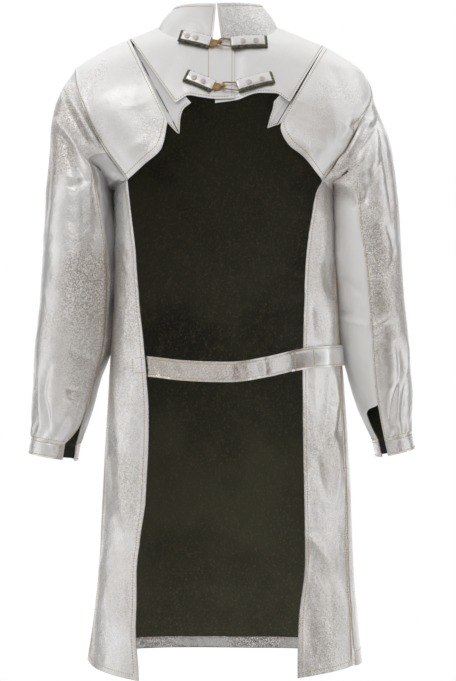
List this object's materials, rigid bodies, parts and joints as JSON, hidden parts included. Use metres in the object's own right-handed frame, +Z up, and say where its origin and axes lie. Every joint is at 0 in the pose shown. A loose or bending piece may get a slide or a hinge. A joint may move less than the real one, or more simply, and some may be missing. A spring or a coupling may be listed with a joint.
{
  "type": "heat protective coat",
  "caption": "Aluminized knee-length heat protective coat with an open back, standing collar, expansion pleats, set-in sleeves, hook clasps at the neck and a strap across the waist.",
  "frame": {"origin": "midway between the two neck points, where the coat rests on the wearer's shoulders", "axes": "+X towards the wearer's right, +Y the way the wearer faces, +Z up; the open back faces -Y"},
  "size_m": [0.6325, 0.2812, 1.0799],
  "materials": {
    "aluminized_cloth": "aluminized twill, bright and slightly speckled",
    "pleat_cloth": "pale blue-grey aluminized cloth",
    "felt_lining": "dark woolly backing",
    "tab_webbing": "thick webbing, silvered face and olive edges",
    "brass": "worn brass",
    "bronze_wire": "dull bronze wire",
    "rivet_metal": "dull pinkish-grey metal",
    "black_tape": "black hook-and-loop tape"
  },
  "bodies": {
    "root": {"collar": "aluminized_cloth", "cuff_left": "aluminized_cloth", "cuff_right": "aluminized_cloth", "cuff_tape_left": "black_tape", "cuff_tape_right": "black_tape", "flap_left": "aluminized_cloth", "flap_right": "aluminized_cloth", "front_hem": "aluminized_cloth", "front_lining": "felt_lining", "front_panel": "aluminized_cloth", "hook_lower": "brass", "hook_upper": "brass", "loop_lower": "bronze_wire", "loop_upper": "bronze_wire", "pleat_left": "pleat_cloth", "pleat_right": "pleat_cloth", "rivet_lower_left_far": "rivet_metal", "rivet_lower_left_near": "rivet_metal", "rivet_lower_right_far": "rivet_metal", "rivet_lower_right_near": "rivet_metal", "rivet_upper_left_far": "rivet_metal", "rivet_upper_left_near": "rivet_metal", "rivet_upper_right_far": "rivet_metal", "rivet_upper_right_near": "rivet_metal", "shoulder_left": "aluminized_cloth", "shoulder_right": "aluminized_cloth", "tab_lower_left": "tab_webbing", "tab_lower_right": "tab_webbing", "tab_upper_left": "tab_webbing", "tab_upper_right": "tab_webbing", "under_sleeve_left": "aluminized_cloth", "under_sleeve_right": "aluminized_cloth", "upper_sleeve_left": "aluminized_cloth", "upper_sleeve_right": "aluminized_cloth", "waist_strap": "aluminized_cloth", "waist_tab": "aluminized_cloth", "yoke_left": "aluminized_cloth", "yoke_right": "aluminized_cloth"}
  },
  "joints": []
}
